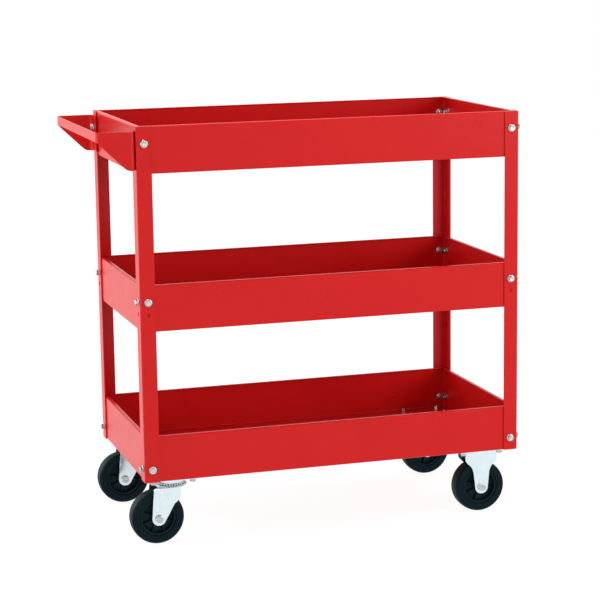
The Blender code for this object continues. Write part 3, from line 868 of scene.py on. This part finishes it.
def top_plate_mesh():
    """A plate with a smooth round dish pressed down into it and a hole for the kingpin."""
    outline = rounded_rectangle(PLATE_LENGTH / 2, PLATE_WIDTH / 2, PLATE_CORNER, 6, 14, 8)
    angles = [math.atan2(y, x) for x, y in outline]

    def circle(radius, height):
        return [(radius * math.cos(a), radius * math.sin(a), height) for a in angles]

    def rim(inset, height):
        scale_x, scale_y = 1 - inset / (PLATE_LENGTH / 2), 1 - inset / (PLATE_WIDTH / 2)
        return [(x * scale_x, y * scale_y, height) for x, y in outline]

    bore = KINGPIN_RADIUS + GAP
    ease = 0.0012
    top = [rim(0.0004, PLATE_TOP), rim(0.004, PLATE_TOP)]
    bottom = [rim(0.004, PLATE_LOW), rim(0.0004, PLATE_LOW)]
    upper = arc((DISH_RADIUS, PLATE_TOP - ease), ease, 90, 180, 4)
    upper += arc((DISH_RADIUS - ease - 0.003, DISH_LOW + PLATE_THICKNESS + 0.003), 0.003, 0, -90, 6)
    lower = arc((DISH_RADIUS - 0.0035, DISH_LOW + 0.0035), 0.0035, 270, 360, 6)
    lower += arc((DISH_RADIUS + 0.0008, PLATE_LOW - 0.0008), 0.0008, 180, 90, 3)
    rings = top + [circle(*point) for point in upper]
    rings += [circle(bore, DISH_LOW + PLATE_THICKNESS), circle(bore, DISH_LOW)]
    rings += [circle(*point) for point in lower] + bottom
    rings += [rim(0, PLATE_LOW + 0.0004), rim(0, PLATE_TOP - 0.0004)]
    plate = new_object("plate", to_mesh("plate", loft(rings, loop=True)))
    boolean(plate, plate_holes())
    return finished(plate, ZINC)


def finished(obj, material):
    """The finished mesh of a helper object, which goes."""
    mesh = finish_mesh(obj.data, material)
    bpy.data.objects.remove(obj)
    return mesh


def pressed_fork(name, top, edges, axle_x, crown_edges=None):
    """Two crowned legs and the web over them, as one bent strip.

    edges(height) gives a leg's back and front edge; crown_edges(y) gives the web's.
    """
    half, bend, sheet = FORK_WIDTH / 2, FORK_BEND, FORK_SHEET
    stations = []
    for step in range(1, 9):
        turn = math.radians(90 * step / 8)
        height = WHEEL_RADIUS - FORK_TIP * math.cos(turn)
        stations.append((half, height, 1.0, 0.0))
    straight = top - bend - WHEEL_RADIUS
    stations += [(half, WHEEL_RADIUS + straight * i / 24, 1.0, 0.0) for i in range(1, 25)]
    for i in range(1, 9):
        turn = math.radians(90 * i / 8)
        across, up = math.cos(turn), math.sin(turn)
        stations.append((half - bend + bend * across, top - bend + bend * up, across, up))
    other_leg = [(-y, z, -across, up) for y, z, across, up in reversed(stations)]
    reach = half - bend
    stations += [(reach * math.cos(math.pi * i / 16), top, 0.0, 1.0) for i in range(1, 16)]
    stations += other_leg
    rings = []
    for y, z, normal_y, normal_z in stations:
        back, front = edges(min(z, top - bend))
        if crown_edges:
            web_back, web_front = crown_edges(min(abs(y), reach))
            share = normal_z ** 2
            back, front = back + (web_back - back) * share, front + (web_front - front) * share
        fall = FORK_CROWNING * (1 - normal_z ** 2)
        settled = min(1.0, max(0.0, (z - WHEEL_RADIUS - 0.012) / 0.015))
        outer, inner = [], []
        for u in FORK_COLUMNS:
            x = (back + front) / 2 + u * (front - back) / 2
            drop = fall * u ** 4 * settled
            side = 1 if y > 0 else -1
            outer.append((x, y - side * drop, z))
            inner.append((x, y - sheet * normal_y - side * drop, z - sheet * normal_z))
        rings.append(outer + inner[::-1])
    fork = new_object(name, to_mesh(name, loft(rings, caps=True)))
    holes = bmesh.new()
    drill(holes, M8["shank"] + GAP, (axle_x, 0, WHEEL_RADIUS), (0, 1, 0), FORK_WIDTH)
    boolean(fork, holes)
    return fork


def swivel_fork_mesh():
    axle_x = -SWIVEL_TRAIL
    crown_radius = DISH_RADIUS + FORK_SHEET

    def tip(height):
        return math.sqrt(max(FORK_TIP ** 2 - (height - WHEEL_RADIUS) ** 2, 0))

    def edges(height):
        back = along(SWIVEL_BACK, height) if height > SWIVEL_BACK[0][1] else axle_x - tip(height)
        front = along(SWIVEL_FRONT, height) if height > SWIVEL_FRONT[0][1] else axle_x + tip(height)
        return back, front

    def crown(y):
        reach = math.sqrt(crown_radius ** 2 - y ** 2)
        return -reach, reach

    fork = pressed_fork("swivel_fork", CROWN_TOP, edges, axle_x, crown)
    round_edges(fork, FORK_ROUNDING, FORK_EDGE_ANGLE)
    hole = bmesh.new()
    drill(hole, KINGPIN_RADIUS + GAP, (0, 0, CROWN_TOP), (0, 0, 1), 2 * FORK_SHEET)
    # Turned a little, so that no corner of the hole lies on the crown's middle edge
    turn = Matrix.Rotation(math.radians(4), 3, "Z")
    bmesh.ops.rotate(hole, verts=hole.verts[:], cent=(0, 0, CROWN_TOP), matrix=turn)
    boolean(fork, hole)
    return finished(fork, ZINC)


def rigid_bracket_mesh():
    def edges(height):
        if height > WHEEL_RADIUS:
            start = (FORK_TIP, WHEEL_RADIUS)
            reach = along([start, *RIGID_EDGE], height)
        else:
            reach = math.sqrt(max(FORK_TIP ** 2 - (height - WHEEL_RADIUS) ** 2, 0))
        return -reach, reach

    bracket = pressed_fork("rigid_bracket", PLATE_LOW + FORK_SHEET, edges, 0)
    outline = rounded_rectangle(PLATE_LENGTH / 2, PLATE_WIDTH / 2, PLATE_CORNER)
    boolean(bracket, prism(outline, PLATE_LOW, PLATE_TOP), "UNION")
    boolean(bracket, plate_holes())
    round_edges(bracket, FORK_ROUNDING, FORK_EDGE_ANGLE)
    return finished(bracket, ZINC)


def kingpin_mesh():
    """A rivet: a domed head in the dish and an upset foot under the crown."""
    low = DISH_LOW + PLATE_THICKNESS + GAP
    foot = CROWN_TOP - FORK_SHEET - GAP
    dome = arc((0, low - 0.0125), 0.0155, 90, 90 - 36, 6)
    profile = [(radius, height) for radius, height in dome if radius < KINGPIN_HEAD]
    profile += [(KINGPIN_HEAD, low + 0.0004), (KINGPIN_HEAD - 0.0003, low), (KINGPIN_RADIUS, low)]
    profile += [(KINGPIN_RADIUS, foot), (KINGPIN_HEAD - 0.0003, foot), (KINGPIN_HEAD, foot - 0.0004)]
    profile += [(KINGPIN_HEAD - 0.001, foot - 0.0018), (KINGPIN_HEAD - 0.004, foot - 0.0024)]
    profile += [(0, foot - 0.0025)]
    return finish_mesh(to_mesh("kingpin", turned(profile, 40)), FASTENER)


def balls_mesh():
    """A full row of balls between the dish and the crown, one just touching the next."""
    bm = bmesh.new()
    reach = DISH_RADIUS - 2 * BALL_RADIUS
    height = (DISH_LOW + CROWN_TOP) / 2
    for i in range(BALL_COUNT):
        angle = 2 * math.pi * i / BALL_COUNT
        place = Matrix.Translation((reach * math.cos(angle), reach * math.sin(angle), height))
        bmesh.ops.create_icosphere(bm, subdivisions=2, radius=BALL_RADIUS, matrix=place)
    return finish_mesh(to_mesh("balls", bm), STEEL, edge_width=0)


def bush_mesh():
    half = FORK_WIDTH / 2 - FORK_SHEET - GAP
    ease = 0.0004
    profile = [(BUSH_BORE + ease, half), (BUSH_RADIUS - ease, half), (BUSH_RADIUS, half - ease)]
    profile += [(radius, -height) for radius, height in reversed(profile)]
    profile += [(BUSH_BORE, ease - half), (BUSH_BORE, half - ease)]
    return finish_mesh(to_mesh("bush", turned(profile, 40)), FASTENER)


def tyre_mesh():
    """A solid rubber tyre with a slightly crowned tread, a fine mould line and a raised bead."""
    half = TYRE_WIDTH / 2
    centre = (WHEEL_RADIUS - TYRE_SHOULDER - 0.0003, half - TYRE_SHOULDER)
    upper = [(TYRE_INNER, half - 0.0006), (TYRE_INNER + 0.0006, half), (TYRE_INNER + 0.0022, half)]
    upper += [(TYRE_INNER + 0.0027, half - 0.0005), (TYRE_INNER + 0.0045, half - 0.0006)]
    upper += arc(centre, TYRE_SHOULDER - 0.0003, 84, 0, 8)
    upper += [(WHEEL_RADIUS - 0.0001, half * 0.3), (WHEEL_RADIUS - 0.00005, 0.0004)]
    profile = upper + [(WHEEL_RADIUS, 0)] + [(radius, -height) for radius, height in reversed(upper)]
    mesh = to_mesh("tyre", turned(profile, 120))
    finish_mesh(mesh, RUBBER, edge_width=0)
    tread = [1.0 if v.co.xy.length > WHEEL_RADIUS - 0.0012 else 0.0 for v in mesh.vertices]
    mesh.attributes["edge"].data.foreach_set("value", tread)
    return mesh


def hub_mesh():
    """A moulded centre: a boss, a ribbed disc, a step and a rim inside the tyre."""
    outer = TYRE_INNER - GAP
    rim = outer - HUB_RIM
    rim_half = TYRE_WIDTH / 2 - HUB_RIM / 2
    boss_half = HUB_LENGTH / 2
    ease = 0.0006
    dished = [HUB_BOSS + 0.0016 + (rim - HUB_BOSS - 0.0032) * i / 6 for i in range(7)]
    upper = [(HUB_BORE + ease, boss_half), (HUB_BOSS - 0.0012, boss_half)]
    upper += [(HUB_BOSS - 0.0003, boss_half - ease)]
    upper += [(HUB_BOSS, boss_half - 0.002), (HUB_BOSS + 0.0006, HUB_WEB + 0.002)]
    upper += [(radius, HUB_WEB) for radius in dished]
    upper += [(rim - 0.0006, HUB_WEB + 0.002), (rim, rim_half - ease), (rim + ease, rim_half)]
    upper += [(outer - ease, rim_half), (outer, rim_half - ease)]
    lower = [(radius, -height) for radius, height in reversed(upper)]
    profile = upper + lower + [(HUB_BORE, ease - boss_half), (HUB_BORE, boss_half - ease)]

    def ribs(radius, height, angle):
        """Raises the disc's points that lie on a rib."""
        on_disc = dished[0] - 1e-6 <= radius <= dished[-1] + 1e-6
        if abs(abs(height) - HUB_WEB) > 1e-6 or not on_disc:
            return height
        turn = (angle * HUB_RIBS / (2 * math.pi)) % 1 - 0.5
        across = abs(turn) * 2 * math.pi / HUB_RIBS * radius
        share = 1 - min(max((across - HUB_RIB_HALF_WIDTH) / HUB_RIB_HALF_WIDTH, 0), 1)
        return math.copysign(abs(height) + HUB_RIB_HEIGHT * share, height)

    return finish_mesh(to_mesh("hub", turned(profile, 160, relief=ribs)), PLASTIC, edge_width=0.0009)


def shared_meshes():
    plate_grip = PLATE_THICKNESS + GAP + TRAY_SHEET
    return {
        "top_plate": top_plate_mesh(),
        "balls": balls_mesh(),
        "kingpin": kingpin_mesh(),
        "fork": swivel_fork_mesh(),
        "bracket": rigid_bracket_mesh(),
        "bush": bush_mesh(),
        "axle": bolt_mesh("axle", M8, FORK_WIDTH, flanged=False),
        "axle_nut": nut_mesh("axle_nut", M8, flanged=False),
        "hub": hub_mesh(),
        "tyre": tyre_mesh(),
        "mount_bolt": bolt_mesh("mount_bolt", M6, plate_grip, flanged=False),
        "mount_nut": nut_mesh("mount_nut", M6, flanged=False),
    }


# CAD node, piece, mesh and slot
WHEEL_PIECES = (
    ("tyre", "tyre_rubber", "tyre", "tyre_rubber"),
    ("hub", "hub_moulding", "hub", "hub_plastic"),
    ("axle_bush", "bush_sleeve", "bush", "fastener_zinc"),
)
SWIVEL_PIECES = (
    ("top_plate", "plate_pressing", "top_plate", "zinc_plate"),
    ("ball_race", "balls", "balls", "fastener_zinc"),
    ("kingpin", "kingpin_rivet", "kingpin", "fastener_zinc"),
    ("fork", "fork_pressing", "fork", "zinc_plate"),
)
RIGID_PIECES = (("bracket", "bracket_pressing", "bracket", "zinc_plate"),)


def build_wheel(corner, meshes, index):
    """Tyre, hub, bush and axle bolt, about the CAD axle."""
    name = f"caster_{corner}"
    low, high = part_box(f"{name}_tyre")
    axle = (low + high) / 2
    across = facing(axle, (0, 1, 0), 0.7 * index)
    for node, piece, mesh, slot in WHEEL_PIECES:
        stand_for(f"{name}_{node}", new_object(f"{name}_{piece}", meshes[mesh]), slot, across)
    bolt_name = f"{name}_axle_bolt"
    screw = new_object(f"{name}_axle_screw", meshes["axle"])
    head = axle - Vector((0, FORK_WIDTH / 2, 0))
    stand_for(bolt_name, screw, "fastener_zinc", facing(head, (0, -1, 0), 0.4 + index))
    nut = new_object(f"{name}_axle_nut", meshes["axle_nut"])
    nut.matrix_world = facing(axle + Vector((0, FORK_WIDTH / 2 + GAP, 0)), (0, 1, 0), 0.9 * index)
    add_piece(nut, NODE_BODY[bolt_name], "fastener_zinc")


def build_mount_bolts(corner, meshes):
    """Four bolts up through the plate and the tray's floor, with their nuts inside the tray."""
    axis = caster_axis(corner)
    for i, (x, y) in enumerate(plate_bolt_places()):
        under = axis + Vector((x, y, PLATE_LOW))
        bolt = new_object(f"caster_{corner}_mount_screw_{i + 1}", meshes["mount_bolt"])
        bolt.matrix_world = facing(under, (0, 0, -1), math.pi / 6)
        add_piece(bolt, "frame", "fastener_zinc")
        nut = new_object(f"caster_{corner}_mount_nut_{i + 1}", meshes["mount_nut"])
        nut.matrix_world = facing((under.x, under.y, FLOOR_SHEET_TOP + GAP), (0, 0, 1), 1.3 * i)
        add_piece(nut, "frame", "fastener_zinc")


def build_casters():
    meshes = shared_meshes()
    for index, corner in enumerate(CORNERS):
        name = f"caster_{corner}"
        place = Matrix.Translation(caster_axis(corner))
        for node, piece, mesh, slot in SWIVEL_PIECES if "left" in corner else RIGID_PIECES:
            stand_for(f"{name}_{node}", new_object(f"{name}_{piece}", meshes[mesh]), slot, place)
        build_wheel(corner, meshes, index)
        build_mount_bolts(corner, meshes)


# Studio


def build_camera():
    yaw, pitch, roll = (math.radians(angle) for angle in (CAMERA_YAW, CAMERA_PITCH, CAMERA_ROLL))
    level = math.cos(pitch)
    forward = Vector((math.sin(yaw) * level, math.cos(yaw) * level, -math.sin(pitch)))
    right = Vector((math.cos(yaw), -math.sin(yaw), 0))
    up = right.cross(forward)
    turned_right = right * math.cos(roll) + up * math.sin(roll)
    turned_up = up * math.cos(roll) - right * math.sin(roll)
    columns = Matrix((turned_right, turned_up, -forward)).transposed().to_4x4()
    camera = bpy.data.objects.new("camera", bpy.data.cameras.new("camera"))
    camera.data.lens = CAMERA_LENS
    camera.data.sensor_width = 36
    camera.data.clip_end = 200
    camera.matrix_world = Matrix.Translation(CAMERA_PLACE) @ columns
    bpy.context.scene.collection.objects.link(camera)
    bpy.context.scene.camera = camera


def build_floor():
    bm = bmesh.new()
    bmesh.ops.create_circle(bm, cap_ends=True, segments=64, radius=FLOOR_RADIUS)
    floor = new_object("studio_floor", to_mesh("studio_floor", bm))
    white = Pattern("studio_white", (0.15, 0.15, 0.15), 0.0, 0.9, 0.0)
    white.shader.inputs["Emission Color"].default_value = (1, 1, 1, 1)
    white.shader.inputs["Emission Strength"].default_value = FLOOR_GLOW
    white.colour(white.mix(white.noise(0.6, 2), (0.145, 0.145, 0.145), (0.155, 0.155, 0.155)))
    floor.data.materials.append(white.material)


def add_area(name, place, size, energy):
    """A round soft light that looks at the cart's middle."""
    light = bpy.data.lights.new(name, "AREA")
    light.shape = "DISK"
    light.size = size
    light.energy = energy
    obj = new_object(name, light)
    direction = Vector((MIDDLE_X, 0, FRAME_TOP / 2)) - Vector(place)
    turn = direction.to_track_quat("-Z", "Y").to_matrix().to_4x4()
    obj.matrix_world = Matrix.Translation(place) @ turn


def build_world():
    """White surroundings: brighter at the horizon than overhead, and brightest behind the cart."""
    world = bpy.data.worlds.new("studio")
    world.use_nodes = True
    nodes, links = world.node_tree.nodes, world.node_tree.links
    split = nodes.new("ShaderNodeSeparateXYZ")
    links.new(nodes.new("ShaderNodeTexCoord").outputs["Generated"], split.inputs["Vector"])
    total = nodes.new("ShaderNodeMath")
    for addend, (axis, numbers) in zip(total.inputs, WORLD_BY_AXIS):
        shade = nodes.new("ShaderNodeMapRange")
        links.new(split.outputs[axis], shade.inputs["Value"])
        for socket, number in zip(RANGE_SOCKETS, numbers):
            shade.inputs[socket].default_value = number
        links.new(shade.outputs["Result"], addend)
    nodes["Background"].inputs["Color"].default_value = (1, 1, 1, 1)
    links.new(total.outputs["Value"], nodes["Background"].inputs["Strength"])
    bpy.context.scene.world = world


def build_studio():
    build_camera()
    build_floor()
    build_world()
    for light in LIGHTS:
        add_area(*light)
    sky = bpy.data.lights.new("sky", "SUN")
    sky.energy = SKY_STRENGTH
    sky.angle = math.radians(SKY_SPREAD)
    new_object("sky", sky).matrix_world = Matrix.Rotation(math.radians(SKY_TILT), 4, "Y")
    bpy.context.scene.view_settings.view_transform = "Standard"


build_trays()
build_posts()
build_handle()
build_frame_bolts()
build_casters()
build_studio()

bpy.context.view_layer.update()
